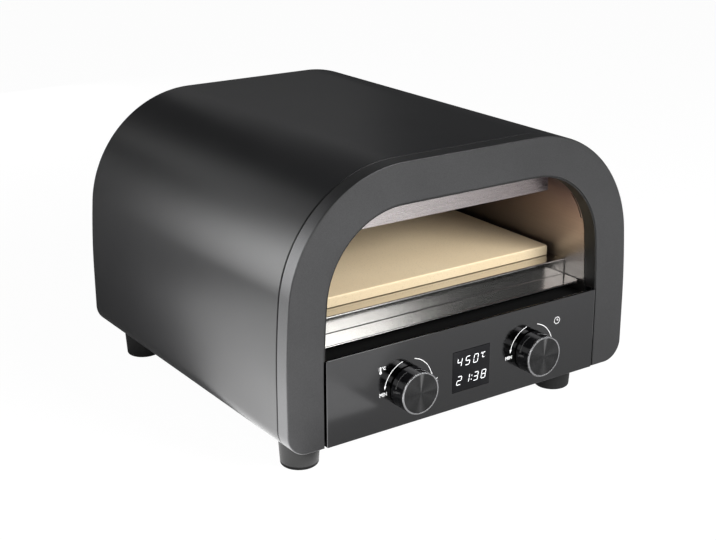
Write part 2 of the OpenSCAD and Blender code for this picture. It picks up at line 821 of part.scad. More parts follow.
outer_shell();
front_frame();
front_bulkhead();
mouth_ring();
frame_screws();
control_panel();
air_trough();
display_window();
display_module();
display_board();
temperature_encoder();
timer_encoder();
encoder_nuts();
temperature_knob();
temperature_cap();
temperature_shaft();
timer_knob();
timer_cap();
timer_shaft();
front_sill();
stone_rack();
pizza_stone();
lintel();
chamber_liner();
rear_liner();
upper_heater();
lower_heater();
heater_clips();
heater_insulators();
heater_pan();
insulation_blanket();
floor_insulation();
rear_insulation();
mid_plate();
left_rail();
right_rail();
base_plate();
front_left_foot();
front_right_foot();
rear_left_foot();
rear_right_foot();
foot_screws();
rear_panel();
rear_screws();
power_inlet();
inlet_pins();
terminal_block();
power_board();
board_components();
fan_frame();
fan_rotor();
fan_axle();
fan_guard();
temperature_probe();
safety_thermostat();
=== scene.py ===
import json
import math

import bmesh
import bpy
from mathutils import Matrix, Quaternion, Vector


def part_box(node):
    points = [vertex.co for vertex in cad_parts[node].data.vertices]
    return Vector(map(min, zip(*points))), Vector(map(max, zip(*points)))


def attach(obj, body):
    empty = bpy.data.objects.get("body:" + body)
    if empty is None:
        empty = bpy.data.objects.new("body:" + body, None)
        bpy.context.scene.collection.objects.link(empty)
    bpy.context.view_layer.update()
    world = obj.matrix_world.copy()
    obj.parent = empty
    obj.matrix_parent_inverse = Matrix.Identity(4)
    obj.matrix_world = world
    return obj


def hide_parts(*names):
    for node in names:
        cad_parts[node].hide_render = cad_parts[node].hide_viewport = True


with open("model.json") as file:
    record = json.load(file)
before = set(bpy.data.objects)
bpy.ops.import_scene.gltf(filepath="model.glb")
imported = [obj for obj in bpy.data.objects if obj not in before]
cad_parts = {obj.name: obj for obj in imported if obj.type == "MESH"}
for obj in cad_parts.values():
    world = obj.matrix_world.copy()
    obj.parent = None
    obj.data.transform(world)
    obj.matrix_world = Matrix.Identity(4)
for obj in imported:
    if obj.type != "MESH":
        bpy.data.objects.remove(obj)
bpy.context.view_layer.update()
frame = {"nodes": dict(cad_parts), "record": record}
slotOf = {s["node"]: s["material_slot"] for s in frame["record"]["subparts"]}
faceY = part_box("front_frame")[0].y  # the frame's front face, in metres
print("frame loaded:", len(frame["nodes"]), "nodes")

# The camera is solved from the photograph's outline of the casing.
view = {
    "location": (-0.8291, -1.2126, 0.6308), "azimuth": -35.05, "elevation": 18.76,
    "lens": 68.516, "sensor": 36, "shiftX": -0.01775, "shiftY": -0.0176, "near": 0.05, "far": 50,
}


def addCamera(p):
    data = bpy.data.cameras.new("camera")
    data.lens, data.sensor_width = p["lens"], p["sensor"]
    data.shift_x, data.shift_y = p["shiftX"], p["shiftY"]
    data.clip_start, data.clip_end = p["near"], p["far"]
    cam = bpy.data.objects.new("camera", data)
    bpy.context.scene.collection.objects.link(cam)
    a, e = math.radians(p["azimuth"]), math.radians(p["elevation"])
    ahead = Vector((-math.sin(a) * math.cos(e), math.cos(a) * math.cos(e), -math.sin(e)))
    cam.location = p["location"]
    cam.rotation_mode = "QUATERNION"
    cam.rotation_quaternion = ahead.to_track_quat("-Z", "Y")
    bpy.context.scene.camera = cam


addCamera(view)


class Wire:
    def __init__(self, sheet, socket):
        self.sheet, self.socket = sheet, socket

    def maths(self, operation, *values):
        return self.sheet.node("ShaderNodeMath", {"operation": operation}, values)

    def __add__(self, other):
        return self.maths("ADD", self, other)

    def __radd__(self, other):
        return self.maths("ADD", other, self)

    def __sub__(self, other):
        return self.maths("SUBTRACT", self, other)

    def __rsub__(self, other):
        return self.maths("SUBTRACT", other, self)

    def __mul__(self, other):
        return self.maths("MULTIPLY", self, other)

    def __rmul__(self, other):
        return self.maths("MULTIPLY", other, self)

    def __truediv__(self, other):
        return self.maths("DIVIDE", self, other)

    def __pow__(self, other):
        return self.maths("POWER", self, other)


class Sheet:
    # a node tree, shader or geometry, and the one way nodes are added to it
    def __init__(self, tree):
        self.tree = tree

    def plug(self, socket, value):
        if isinstance(value, Wire):
            self.tree.links.new(value.socket, socket)
        elif isinstance(value, list):
            for wire in value:
                self.plug(socket, wire)
        elif value is not None:
            if socket.type == "RGBA" and len(value) == 3:
                value = (*value, 1)
            socket.default_value = value

    def node(self, kind, settings, values, out=0):
        made = self.tree.nodes.new(kind)
        for key, value in settings.items():
            if key == "stops":
                ramp = made.color_ramp.elements
                while len(ramp) < len(value):
                    ramp.new(0.5)
                for stop, (at, colour) in zip(ramp, value):
                    stop.position = at
                    stop.color = (*colour, 1) if isinstance(colour, tuple) else (colour, colour, colour, 1)
            else:
                setattr(made, key, value)
        pairs = values.items() if isinstance(values, dict) else enumerate(values)
        for key, value in pairs:
            self.plug(made.inputs[key], value)
        return Wire(self, made.outputs[out])


class Finish(Sheet):
    def __init__(self, name, **fixed):
        self.material = bpy.data.materials.new(name)
        self.material.use_nodes = True
        super().__init__(self.material.node_tree)
        self.tree.nodes.clear()
        self.surface = self.tree.nodes.new("ShaderNodeBsdfPrincipled")
        self.out = self.tree.nodes.new("ShaderNodeOutputMaterial")
        self.tree.links.new(self.surface.outputs["BSDF"], self.out.inputs["Surface"])
        for key, value in fixed.items():
            self.set(key, value)

    def set(self, key, value):
        self.plug(self.surface.inputs[key], value)
        return self

    def place(self, scale=(1, 1, 1)):
        where = self.node("ShaderNodeTexCoord", {}, {}, "Object")
        return self.node("ShaderNodeMapping", {}, {"Vector": where, "Scale": scale})

    def axis(self, which, where=None):
        where = where or self.node("ShaderNodeTexCoord", {}, {}, "Object")
        return self.node("ShaderNodeSeparateXYZ", {}, [where], which)

    def noise(self, scale, detail=2.0, rough=0.5, where=None):
        values = {"Vector": where or self.place(), "Scale": scale, "Detail": detail, "Roughness": rough}
        return self.node("ShaderNodeTexNoise", {}, values, "Fac")

    def ramp(self, value, *stops):
        return self.node("ShaderNodeValToRGB", {"stops": stops}, [value])

    def span(self, value, fromLow, fromHigh, toLow=0.0, toHigh=1.0):
        return self.node("ShaderNodeMapRange", {}, [value, fromLow, fromHigh, toLow, toHigh])

    def mix(self, share, first, second, blend="MIX"):
        settings = {"data_type": "RGBA", "blend_type": blend}
        return self.node("ShaderNodeMix", settings, {0: share, 6: first, 7: second}, 2)

    def bump(self, height, distance, strength):
        values = {"Height": height, "Distance": distance, "Strength": strength}
        return self.set("Normal", self.node("ShaderNodeBump", {}, values, "Normal"))


def grained(name, noise, tones, rough, limits=(0.3, 0.7), bump=None, stretch=(1, 1, 1), **fixed):
    # one noise drives the colour between two tones, the roughness and the bump
    f = Finish(name, **fixed)
    grain = f.noise(*noise, where=f.place(stretch))
    f.set("Base Color", f.mix(grain, *tones))
    f.set("Roughness", f.span(grain, *limits, *rough))
    return f.bump(grain, *bump) if bump else f


def greys(low, high):
    return (low,) * 3, (high,) * 3


def mouldedBlack(name, tone):
    tones = greys(tone * 0.8, tone * 1.3)
    return grained(name, (1100, 2, 0.6), tones, (0.38, 0.52), (0.2, 0.8), (0.00006, 0.4))


def shellPaint():
    f = Finish("shellPaint")
    grain = f.noise(1400, 2, 0.6)
    cloud = f.noise(9, 3)
    f.set("Base Color", f.mix(f.span(cloud, 0.3, 0.7), (0.012, 0.012, 0.013), (0.016, 0.016, 0.017)))
    f.set("Roughness", f.span(grain, 0.2, 0.8, 0.28, 0.35))
    return f.bump(grain, 0.00005, 0.3)


def framePaint():
    f = Finish("framePaint", Metallic=0.85)
    flake = f.noise(1500, 2, 0.7)
    cloud = f.noise(12, 3)
    tone = f.span(cloud, 0.3, 0.7, 0.35, 0.65) + f.span(flake, 0.3, 0.7, -0.35, 0.35)
    f.set("Base Color", f.mix(tone, (0.070, 0.070, 0.072), (0.108, 0.108, 0.110)))
    f.set("Roughness", f.span(flake, 0.2, 0.8, 0.33, 0.42))
    return f.bump(flake, 0.00004, 0.3)


def panelPaint():
    f = Finish("panelPaint", Metallic=1.0)
    flake = f.noise(2600, 2, 0.7)
    f.set("Base Color", f.mix(f.span(flake, 0.3, 0.7), (0.092, 0.092, 0.094), (0.112, 0.112, 0.114)))
    f.set("Roughness", f.span(f.noise(14, 3), 0.3, 0.7, 0.10, 0.14))
    return f.bump(flake, 0.00002, 0.15)

spun = {
    "marksPerMetre": 9000,
    "rim": (0.02055, 0.02075),  # where the bevel starts and ends, from the dial's middle
    "sectors": [  # share of a turn, and the painted highlight's brightness there
        (0.0, 0.038), (0.10, 0.070), (0.19, 0.050), (0.25, 0.125), (0.31, 0.048),
        (0.42, 0.074), (0.485, 0.036), (0.515, 0.092), (0.62, 0.066), (0.71, 0.050),
        (0.742, 0.330), (0.768, 0.060), (0.88, 0.088), (1.0, 0.038),
    ],
}


def spunFace(name, centre):
    # fine turning marks, with painted highlights brighter and darker in sectors round the middle that stand in
    # for the light they spread; the bevel round them is polished
    f = Finish(name, Metallic=0.9)
    where = f.node("ShaderNodeTexCoord", {}, {}, "Object")
    away = f.node("ShaderNodeVectorMath", {"operation": "SUBTRACT"}, [where, centre])
    flat = f.node("ShaderNodeVectorMath", {"operation": "MULTIPLY"}, [away, (1, 0, 1)])
    reach = f.node("ShaderNodeVectorMath", {"operation": "LENGTH"}, [flat], "Value")
    marks = {"W": reach * spun["marksPerMetre"], "Scale": 1.0, "Detail": 1.0}
    groove = f.node("ShaderNodeTexNoise", {"noise_dimensions": "1D"}, marks)
    rise, run = f.axis("Z", flat), f.axis("X", flat)
    turn = rise.maths("ARCTAN2", rise, run) / math.tau + 0.5
    # painted highlight: the face's colour is brighter in some sectors round the middle and darker in others
    paintedSheen = f.ramp(turn, *spun["sectors"])
    face = f.mix(groove * 0.5 + 0.15, paintedSheen, (0.034, 0.034, 0.036))
    rim = f.span(reach, *spun["rim"])
    f.set("Base Color", f.mix(rim, face, (0.42, 0.42, 0.43)))
    f.set("Roughness", f.span(groove, 0.2, 0.8, 0.24, 0.34) - rim * 0.17)
    return f.bump(groove, 0.00012, 0.9)


def brushedSteel(name, light, dark, low, high, along=(1, 60, 60), deep=0.00004, paintedEndShade=0.0):
    f = Finish(name, Metallic=1.0)
    line = f.noise(34, 4, 0.7, f.place(scale=along))
    haze = f.noise(10, 3)
    base = f.mix(line * 0.6 + haze * 0.4, light, dark)
    if paintedEndShade:  # painted shade: the right end is darkened towards a heat brown, standing in for the dark reflection there
        base = f.mix(f.span(f.axis("X") + haze * 0.03, -0.08, 0.17, 0.0, paintedEndShade), base, (0.11, 0.085, 0.085))
    f.set("Base Color", base)
    f.set("Roughness", f.span(line, 0.25, 0.75, low, high))
    return f.bump(line, deep, 0.35)


def tintedSteel():
    # straw, brown and violet heat colours towards the top of the chamber
    f = Finish("tintedSteel", Metallic=1.0)
    drift = f.noise(9, 3) * 0.030
    height = f.span(f.axis("Z") + drift, 0.150, 0.262)
    tint = f.ramp(
        height, (0.0, (0.42, 0.40, 0.39)), (0.30, (0.47, 0.41, 0.40)), (0.55, (0.50, 0.39, 0.38)),
        (0.80, (0.42, 0.30, 0.33)), (1.0, (0.27, 0.20, 0.24)),
    )
    # painted shade: the steel darkens almost to black towards the back of the chamber, deep in the cavity
    paintedBackShade = f.span(f.axis("Y") + drift, -0.14, 0.08, 0.0, 0.94)
    tint = f.mix(paintedBackShade, tint, (0.05, 0.04, 0.035))
    line = f.noise(20, 4, 0.7, f.place(scale=(40, 1, 40)))
    f.set("Base Color", f.mix(line * 0.35, tint, (0.22, 0.19, 0.18)))
    f.set("Roughness", f.span(line, 0.25, 0.75, 0.26, 0.40))
    return f.bump(line, 0.00004, 0.3)


def bakedStone():
    f = Finish("bakedStone")
    f.set("Specular IOR Level", 0.25)
    grain = f.noise(700, 3, 0.65)
    cells = {"Vector": f.place(), "Scale": 420.0}
    pore = f.node("ShaderNodeTexVoronoi", {"feature": "F1"}, cells, "Distance")
    pit = f.span(pore, 0.05, 0.22)
    cloud = f.noise(11, 4)
    base = f.mix(f.span(cloud, 0.3, 0.7), (0.87, 0.70, 0.460), (0.91, 0.75, 0.505))
    base = f.mix(f.span(grain, 0.35, 0.75, 0.0, 0.35), base, (0.76, 0.62, 0.41))
    base = f.mix(pit, (0.60, 0.49, 0.34), base)
    edge = f.span(f.axis("Z"), 0.1498, 0.1508)  # painted shade: below 0.1498 m, on its sides, the stone is painted a third darker than on its top
    f.set("Base Color", f.mix(edge, f.mix(1.0, base, (0.64, 0.64, 0.64), "MULTIPLY"), base))
    f.set("Roughness", f.span(grain, 0.2, 0.8, 0.78, 0.92))
    return f.bump(grain * 0.5 + pit * 0.5, 0.00025, 0.5)


def galvanised():
    f = Finish("galvanised", Metallic=1.0)
    cells = {"Vector": f.place(), "Scale": 90.0}
    leaf = f.node("ShaderNodeTexVoronoi", {"feature": "F1"}, cells, "Color")
    tone = f.node("ShaderNodeSeparateColor", {}, [leaf], "Red")
    f.set("Base Color", f.mix(tone, (0.42, 0.43, 0.45), (0.56, 0.57, 0.59)))
    f.set("Roughness", f.span(tone, 0, 1, 0.34, 0.50))
    return f.bump(tone, 0.00003, 0.2)


def litDigit():
    f = Finish("litDigit", Roughness=0.4)
    f.set("Base Color", (0.7, 0.7, 0.7))
    f.set("Emission Color", (0.93, 0.96, 1.0))
    return f.set("Emission Strength", 0.75)


finishOf = {
    "shell_black": shellPaint(),
    "frame_graphite": framePaint(),
    "panel_graphite": panelPaint(),
    "trim_black": grained(
        "trimBlack", (900, 2), greys(0.008, 0.014), (0.35, 0.48), (0.2, 0.8), (0.00003, 0.3)),
    "window_black": grained(
        "windowGloss", (60, 3), ((0.004, 0.004, 0.005), (0.007, 0.007, 0.008)), (0.05, 0.11)
    ).set("Specular IOR Level", 0.22),
    "knob_black": grained(
        "knobGloss", (120, 3), ((0.006, 0.006, 0.007), (0.010, 0.010, 0.011)), (0.06, 0.10)),
    "sill_steel": brushedSteel(
        "sillSteel", (0.66, 0.655, 0.64), (0.56, 0.55, 0.535), 0.11, 0.17, deep=0.00003),
    "chamber_steel": tintedSteel(),
    "chassis_steel": galvanised(),
    "heater_steel": grained(
        "oxidisedTube", (160, 4, 0.7), ((0.045, 0.040, 0.038), (0.115, 0.095, 0.085)), (0.45, 0.68),
        bump=(0.0001, 0.4), Metallic=0.7),
    "screw_steel": brushedSteel(
        "screwSteel", (0.46, 0.46, 0.47), (0.34, 0.34, 0.35), 0.26, 0.40, (8, 8, 8)),
    "stone_beige": bakedStone(),
    "fibre_white": grained(
        "fibreWool", (120, 5, 0.75), ((0.62, 0.60, 0.54), (0.86, 0.85, 0.81)), (0.85, 0.97),
        (0.2, 0.8), (0.0012, 0.6), (1, 6, 6)),
    "foot_rubber": grained(
        "footRubber", (800, 3, 0.6), greys(0.012, 0.022), (0.46, 0.62), (0.2, 0.8), (0.00008, 0.4)
    ).set("Specular IOR Level", 0.25),
    "ceramic_white": grained(
        "bakedCeramic", (500, 2), ((0.76, 0.73, 0.66), (0.86, 0.84, 0.79)), (0.35, 0.5)),
    "module_white": grained(
        "softWhite", (300, 2), ((0.66, 0.67, 0.65), (0.74, 0.75, 0.73)), (0.45, 0.55)),
    "board_green": grained(
        "boardGreen", (300, 2), ((0.014, 0.090, 0.045), (0.026, 0.135, 0.070)), (0.28, 0.40)),
    "component_black": mouldedBlack("componentBlack", 0.025),
    "inlet_black": mouldedBlack("inletBlack", 0.013),
    "fan_black": mouldedBlack("fanBlack", 0.020),
    "contact_brass": grained(
        "contactBrass", (200, 3), ((0.50, 0.38, 0.16), (0.66, 0.53, 0.28)), (0.22, 0.34), Metallic=1.0),
}
# painted shade darkens the lintel's steel towards its right end
lintelSteel = brushedSteel(
    "lintelSteel", (0.62, 0.575, 0.57), (0.50, 0.455, 0.455), 0.22, 0.34, deep=0.00008, paintedEndShade=0.85)
knobCentre = {name: sum(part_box(name + "_cap"), Vector()) / 2 for name in ("temperature", "timer")}
spunOf = {name: spunFace(name + "Spun", tuple(c)) for name, c in knobCentre.items()}
printInk = grained("printedWhite", (900, 2), greys(0.72, 0.82), (0.45, 0.6))
digitGlow = litDigit()
print("finishes made:", len(bpy.data.materials))


def paint(obj, finish):
    obj.data.materials.clear()
    obj.data.materials.append(finish.material)


for name, node in frame["nodes"].items():
    slot = slotOf[name]
    paint(node, spunOf[name.split("_")[0]] if slot == "knob_face" else finishOf[slot])
paint(frame["nodes"]["lintel"], lintelSteel)


# Mesh sizes are in millimetres from here on, and y is counted from the frame's face.
def at(x, y, z):
    return Vector((x / 1000, faceY + y / 1000, z / 1000))


def skin(rings, closedAcross=False):
    # joins rings that have the same number of points, each of them closed
    points = [p for ring in rings for p in ring]
    n, faces = len(rings[0]), []
    last = len(rings) if closedAcross else len(rings) - 1
    for i in range(last):
        j = (i + 1) % len(rings)
        for k in range(n):
            m = (k + 1) % n
            faces.append((i * n + k, i * n + m, j * n + m, j * n + k))
    if not closedAcross:
        faces.append(tuple(range(n)))
        faces.append(tuple(range((len(rings) - 1) * n, len(rings) * n)))
    return points, faces


def piece(name, parts, finish, body, node=None, sharp=35, flat=False):
    mesh = bpy.data.meshes.new(name)
    bm = bmesh.new()
    for points, faces in parts:
        made = [bm.verts.new(at(*p)) for p in points]
        for f in faces:
            bm.faces.new([made[i] for i in f])
    bmesh.ops.remove_doubles(bm, verts=bm.verts, dist=1e-7)
    bmesh.ops.triangulate(bm, faces=[f for f in bm.faces if len(f.verts) > 4], ngon_method="EAR_CLIP")
    bmesh.ops.recalc_face_normals(bm, faces=bm.faces)
    bm.to_mesh(mesh)
    bm.free()
    dress(bpy.data.objects.new(name, mesh), finish, body, node, sharp, flat)


def dress(obj, finish, body, node=None, sharp=35, flat=False):
    bpy.context.scene.collection.objects.link(obj)
    obj.data.polygons.foreach_set("use_smooth", [not flat] * len(obj.data.polygons))
    if not flat:
        obj.data.set_sharp_from_angle(angle=math.radians(sharp))
    paint(obj, finish)
    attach(obj, body)
    if node:
        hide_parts(node)


def arc(cx, cz, r, start, end, steps):
    turns = [math.radians(start + (end - start) * i / steps) for i in range(steps + 1)]
    return [(cx + r * math.cos(t), cz + r * math.sin(t)) for t in turns]


casing = {
    "halfW": 220, "top": 302, "cornerR": 133, "sideR": 957.5, "crownHalf": 83.6,
    "bottomR": 23, "footH": 27, "sheet": 1.2, "shellFront": 19.3, "shellRear": 436,
    "frontHem": 1.0, "rearHem": 0.5, "flatLoop": 60, "turnIn": 0.2,
    "baseHalf": 110, "flangeY": 424.4, "flangeW": 14,
    "underSteps": 3, "rollSteps": 16, "wallSteps": 4, "bowSteps": 12, "cornerSteps": 48,
}
bowX = casing["crownHalf"] - casing["halfW"] + casing["sideR"]
cornerZ = casing["top"] - casing["cornerR"]
bowRise = math.sqrt((casing["sideR"] - casing["cornerR"]) ** 2 - bowX ** 2)
bowZ = cornerZ - bowRise
bowTurn = math.degrees(math.atan2(bowRise, bowX))


def archSide(inset, fromZ):
    # right half of the arch, from a low level up to the crown's middle
    c = casing
    steps = c["wallSteps"]
    side = [(c["halfW"] - inset, fromZ + (bowZ - fromZ) * i / steps) for i in range(steps)]
    side += arc(c["halfW"] - c["sideR"], bowZ, c["sideR"] - inset, 0, bowTurn, c["bowSteps"])
    side += arc(c["crownHalf"], cornerZ, c["cornerR"] - inset, bowTurn, 90, c["cornerSteps"])[1:]
    return side + [(0, c["top"] - inset)]


def archLoop(inset, fromZ):
    right = archSide(inset, fromZ)
    return right + [(-x, z) for x, z in reversed(right[:-1])]


def casingPath(inset, fromX):
    # the casing's outline from under its right side, over the crown, to under its left side
    c = casing
    rollX, rollZ = c["halfW"] - c["bottomR"], c["footH"] + c["bottomR"]
    steps = c["underSteps"]
    under = [(fromX + (rollX - fromX) * i / steps, c["footH"] + inset) for i in range(steps)]
    roll = arc(rollX, rollZ, c["bottomR"] - inset, -90, 0, c["rollSteps"])
    right = under + roll + archSide(inset, rollZ)[1:]
    return right + [(-x, z) for x, z in reversed(right[:-1])]


def roundRect(cx, cz, w, h, r, steps=6):
    loop = []
    for sx, sz, start in ((1, 1, 0), (-1, 1, 90), (-1, -1, 180), (1, -1, 270)):
        loop += arc(cx + sx * (w / 2 - r), cz + sz * (h / 2 - r), r, start, start + 90, steps)
    return loop


def rectRing(y, *shape):
    return [(x, y, z) for x, z in roundRect(*shape)]


def rollEdge(r, steps=4, beyond=1.15):
    # (depth, inset) pairs of a rounded edge, from the face to the side;
    # one more loop just beyond each end keeps the flats' shading flat
    turns = [math.pi / 2 * i / steps for i in range(steps + 1)]
    bend = [(r - r * math.sin(t), r - r * math.cos(t)) for t in reversed(turns)]
    return [(0, r * beyond)] + bend + [(r * beyond, 0)]


def makeShell():
    c = casing
    t, front, back, flange = c["sheet"], c["shellFront"], c["shellRear"], c["flangeY"]
    wall = [(front + depth, inset) for depth, inset in rollEdge(c["frontHem"])]
    wall += [(front + c["flatLoop"], 0), (back - c["flatLoop"], 0)]
    wall += [(back - depth, inset) for depth, inset in reversed(rollEdge(c["rearHem"]))]
    wall += [(back - c["turnIn"], t), (front + c["turnIn"], t)]
    lip = [(flange, t), (flange + t, t), (flange + t, c["flangeW"]), (flange, c["flangeW"])]
    parts = []
    for section in (wall, lip):
        paths = [casingPath(inset, c["baseHalf"]) for y, inset in section]
        rings = [[(x, y, z) for (x, z), (y, inset) in zip(spots, section)] for spots in zip(*paths)]
        parts.append(skin(rings))
    piece("casingShell", parts, finishOf["shell_black"], "casing", "outer_shell")


frameSizes = {"legW": 42, "depth": 17.5, "outerEdge": 1.3, "innerEdge": 1.0, "footEdge": 1.0}


def frameLoop(outer, inner):
    # outline of the arch-shaped frame, drawn in from its outer and its inner edge
    f = frameSizes
    low = casing["footH"] + min(outer, f["footEdge"])
    path = casingPath(outer, casing["halfW"] - f["legW"] + inner)
    mouth = archLoop(f["legW"] - inner, low)
    return [(x, max(z, low)) for x, z in path] + mouth[-2:0:-1]


def makeFrame():
    f = frameSizes
    steps = [
        (depth * f["outerEdge"], inset * f["outerEdge"], inset * f["innerEdge"])
        for depth, inset in rollEdge(1.0)
    ] + [(f["depth"], 0, 0)]
    rings = [[(x, y, z) for x, z in frameLoop(outer, inner)] for y, outer, inner in steps]
    piece("archFrame", [skin(rings)], finishOf["frame_graphite"], "casing", "front_frame", sharp=50)


makeShell()
makeFrame()
print("casing made")


panel = {
    "w": 351.6, "low": 27, "high": 119, "front": -0.9, "back": 12, "edge": 0.9, "thick": 2,
    "corner": 1.4, "leastCorner": 0.15, "wall": 1.5, "trayCorner": 0.3, "trayDrop": 0.4,
    "windowX": 3, "windowZ": 68, "windowW": 49, "windowH": 45, "windowCorner": 0.6,
    "windowGap": 0.4, "bevelGap": 0.7, "bevel": 0.15, "paneCorner": 0.5,
    "paneSteps": [(0.35, -0.1), (0.1, 0), (0, 0.2), (0, 2)],  # inset, and depth behind the sheet's face
}


def windowLoop(grow, y, corner):
    p = panel
    return rectRing(y, p["windowX"], p["windowZ"], p["windowW"] + grow, p["windowH"] + grow, corner)


def makePanel():
    p = panel
    mid, h = (p["low"] + p["high"]) / 2, p["high"] - p["low"]
    front, behind, corner = p["front"], p["front"] + p["thick"], p["windowCorner"]

    def sheetLoop(inset, y):
        r = max(p["corner"] - inset, p["leastCorner"])
        return rectRing(y, 0, mid, p["w"] - 2 * inset, h - 2 * inset, r)

    rings = [windowLoop(p["bevelGap"], front, corner)]
    for depth, inset in rollEdge(1.0, 3):
        rings.append(sheetLoop(inset * p["edge"], front + depth * p["edge"]))
    rings += [sheetLoop(0, behind), windowLoop(p["windowGap"], behind, corner)]
    rings += [windowLoop(p["windowGap"], front + p["bevel"], corner)]

    def trayPath(inset):
        # down the right side, across the bottom and up the left side; the tray is open at the top
        x, z, r = p["w"] / 2 - inset, p["low"] + inset, max(p["corner"] - inset, p["trayCorner"])
        turn = arc(x - r, z + r, r, 0, -90, 5) + arc(-x + r, z + r, r, -90, -180, 5)
        top = p["high"] - p["trayDrop"]
        return [(x, top)] + turn + [(-x, top)]

    start, end = front + p["edge"], p["back"]
    tray = [
        [(ax, start, az), (ax, end, az), (bx, end, bz), (bx, start, bz)]
        for (ax, az), (bx, bz) in zip(trayPath(0), trayPath(p["wall"]))
    ]
    parts = [skin(rings, closedAcross=True), skin(tray)]
    piece("panelSheet", parts, finishOf["panel_graphite"], "casing", "control_panel")


def makeWindow():
    p = panel
    rings = [windowLoop(-2 * inset, p["front"] + depth, p["paneCorner"]) for inset, depth in p["paneSteps"]]
    piece("displayPane", [skin(rings)], finishOf["window_black"], "casing", "display_window")


digitSizes = {
    "h": 9.0, "bar": 0.75, "gap": 0.22, "slant": 0.19, "y": -1.04, "thick": 0.04,
    "marks": [  # mark, centre, width and height
        ("4", -12.6, 78.0, 5.3, 9.0), ("5", -1.9, 78.0, 5.3, 9.0), ("0", 8.9, 78.0, 5.3, 9.0),
        ("C", 19.4, 79.6, 3.0, 5.2), ("2", -12.9, 57.8, 5.3, 9.0), ("1", -2.4, 57.8, 5.3, 9.0),
        ("3", 9.2, 57.8, 5.3, 9.0), ("8", 19.5, 57.8, 5.3, 9.0),
    ],
    "degree": (16.9, 81.9, 0.85, 0.35),  # centre, radius and line
    "colon": (3.6, 57.8), "dotRises": (-2.2, 2.0), "dot": (1.1, 1.1, 0.3, 2),
}
segmentsOf = {
    "0": "abcdef", "1": "bc", "2": "abged", "3": "abgcd", "4": "fgbc", "5": "afgcd",
    "8": "abcdefg", "C": "afed",
}


def segmentShape(kind, w, h):
    # a six-sided bar of a seven-bar digit, about the digit's middle
    x, z = w / 2, h / 2
    x0, z0, x1, z1 = {
        "a": (-x, z, x, z), "g": (-x, 0, x, 0), "d": (-x, -z, x, -z), "f": (-x, 0, -x, z),
        "b": (x, 0, x, z), "e": (-x, -z, -x, 0), "c": (x, -z, x, 0),
    }[kind]
    g, b = digitSizes["gap"] * h / digitSizes["h"], digitSizes["bar"] / 2
    end = x1 - x0 + z1 - z0 - g
    bar = [(g, 0), (g + b, b), (end - b, b), (end, 0), (end - b, -b), (g + b, -b)]
    if z0 == z1:
        return [(x0 + along, z0 + across) for along, across in bar]
    return [(x0 - across, z0 + along) for along, across in bar]


def plate(outline, y, thick):
    # a thin flat shape on the panel, standing out by its thickness
    n = len(outline)
    points = [(x, y - thick, z) for x, z in outline] + [(x, y, z) for x, z in outline]
    faces = [tuple(range(n)), tuple(range(n, 2 * n))]
    faces += [(k, (k + 1) % n, n + (k + 1) % n, n + k) for k in range(n)]
    return points, faces

wholeTurn = (0, 359.5)  # a ring's band stays just open, so that it has two ends


def onCircle(cx, cz, radius, angle):
    # the angle counts from straight up, clockwise
    a = math.radians(angle)
    return cx + radius * math.sin(a), cz + radius * math.cos(a)


def arcBand(cx, cz, r, bar, start, end, steps=28):
    # a printed line of even width along an arc
    angles = [start + (end - start) * i / steps for i in range(steps + 1)]
    outer = [onCircle(cx, cz, r + bar / 2, a) for a in angles]
    return outer + [onCircle(cx, cz, r - bar / 2, a) for a in reversed(angles)]


def makeDigits():
    d = digitSizes
    shapes = []
    for mark, cx, cz, w, h in d["marks"]:
        for kind in segmentsOf[mark]:
            shapes.append([(cx + x + z * d["slant"], cz + z) for x, z in segmentShape(kind, w, h)])
    shapes.append(arcBand(*d["degree"], *wholeTurn))
    colonX, colonZ = d["colon"]
    for rise in d["dotRises"]:
        shapes.append(roundRect(colonX + rise * d["slant"], colonZ + rise, *d["dot"]))
    parts = [plate(shape, d["y"], d["thick"]) for shape in shapes]
    piece("displayDigits", parts, digitGlow, "casing", flat=True)


markSizes = {
    "y": -0.9, "thick": 0.04, "arcR": 29.8, "bar": 0.75, "near": 14, "far": 76,
    "headTip": 7.2, "headRoot": 0.5, "headW": 2.8,
    "letter": 5.2, "wordX": 31.2, "wordZ": -1.2, "relief": 0.02, "weight": 0.16,
}


def wordMesh(text, x, z, size):
    data = bpy.data.curves.new("word", "FONT")
    data.body, data.size, data.align_x, data.align_y = text, size, "CENTER", "CENTER"
    data.extrude, data.offset = markSizes["relief"], markSizes["weight"]
    source = bpy.data.objects.new("word", data)
    bpy.context.scene.collection.objects.link(source)
    mesh = bpy.data.meshes.new_from_object(source.evaluated_get(bpy.context.evaluated_depsgraph_get()))
    bpy.data.objects.remove(source)
    face = markSizes["y"] - markSizes["relief"]
    points = [(x + v.co.x, face - v.co.z, z + v.co.y) for v in mesh.vertices]
    faces = [tuple(f.vertices) for f in mesh.polygons]
    bpy.data.meshes.remove(mesh)
    return points, faces


def printed(name, shapes, words):
    parts = [plate(shape, markSizes["y"], markSizes["thick"]) for shape in shapes]
    parts += [wordMesh(*word) for word in words]
    piece(name, parts, printInk, "casing", flat=True)


def makeMarks():
    m = markSizes
    r, half, tip, root = m["arcR"], m["headW"] / 2, m["far"] + m["headTip"], m["far"] - m["headRoot"]
    shapes, words = [], []
    for centre in knobCentre.values():
        cx, cz = centre.x * 1000, centre.z * 1000
        for side, word in ((-1, "MIN"), (1, "MAX")):
            shapes.append(arcBand(cx, cz, r, m["bar"], side * m["near"], side * m["far"]))
            head = [(r, tip), (r + half, root), (r - half, root)]
            shapes.append([onCircle(cx, cz, radius, side * angle) for radius, angle in head])
            words.append((word, cx + side * m["wordX"], cz + m["wordZ"], m["letter"]))
    printed("dialMarks", shapes, words)


